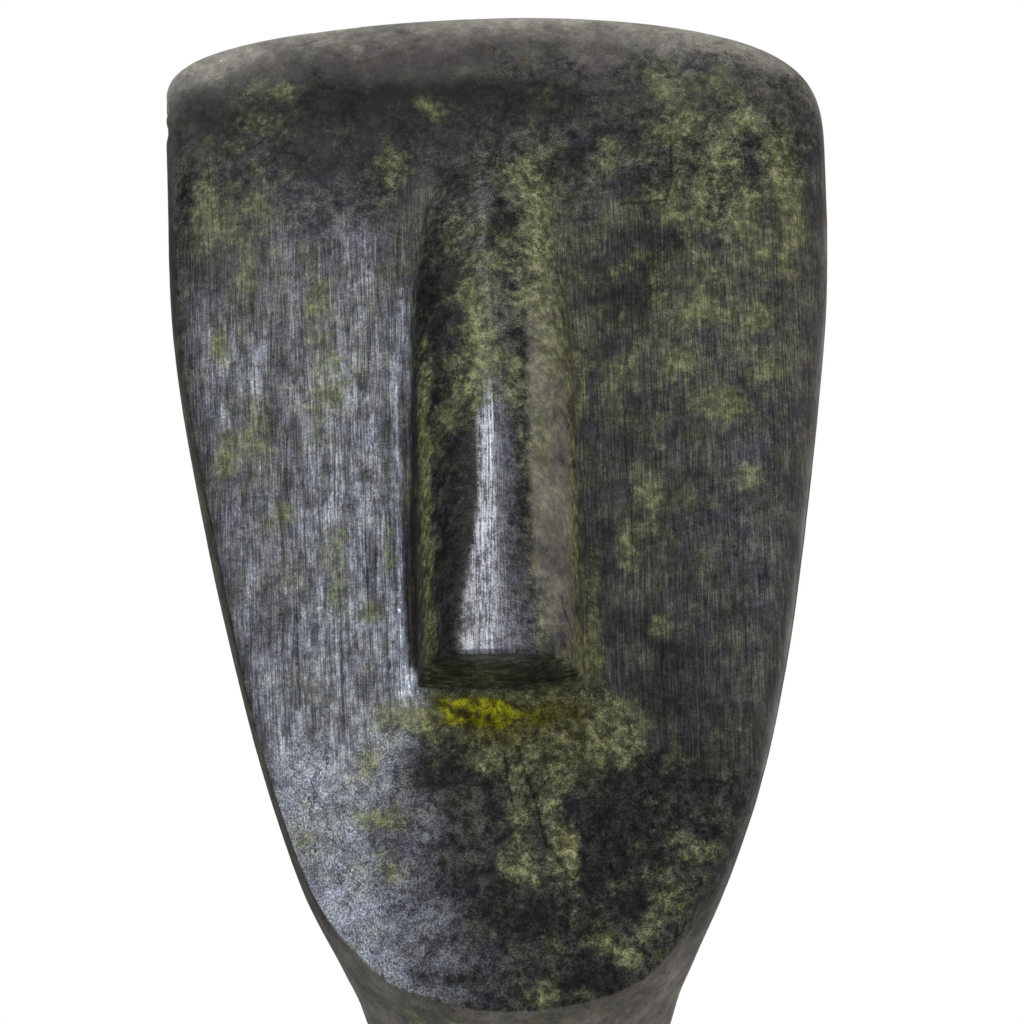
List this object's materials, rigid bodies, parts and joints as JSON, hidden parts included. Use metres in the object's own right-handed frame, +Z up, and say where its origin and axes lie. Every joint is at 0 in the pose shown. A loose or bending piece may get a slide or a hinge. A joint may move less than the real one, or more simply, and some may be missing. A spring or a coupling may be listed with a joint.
{
  "type": "cycladic head sculpture",
  "caption": "Small cast bronze head: flat shield face leaning back, long wedge nose, rounded back and plain round neck cut flat to stand on",
  "frame": {"origin": "middle of the flat underside of the neck, which the head stands on", "axes": "+Z up from the underside to the crown; the face looks toward -Y; +X is to the right of someone facing it"},
  "size_m": [0.0666, 0.0491, 0.1254],
  "materials": {
    "bronze_patina": "dark green-black patina over filed cast bronze"
  },
  "bodies": {
    "root": {"head": "bronze_patina"}
  },
  "joints": []
}
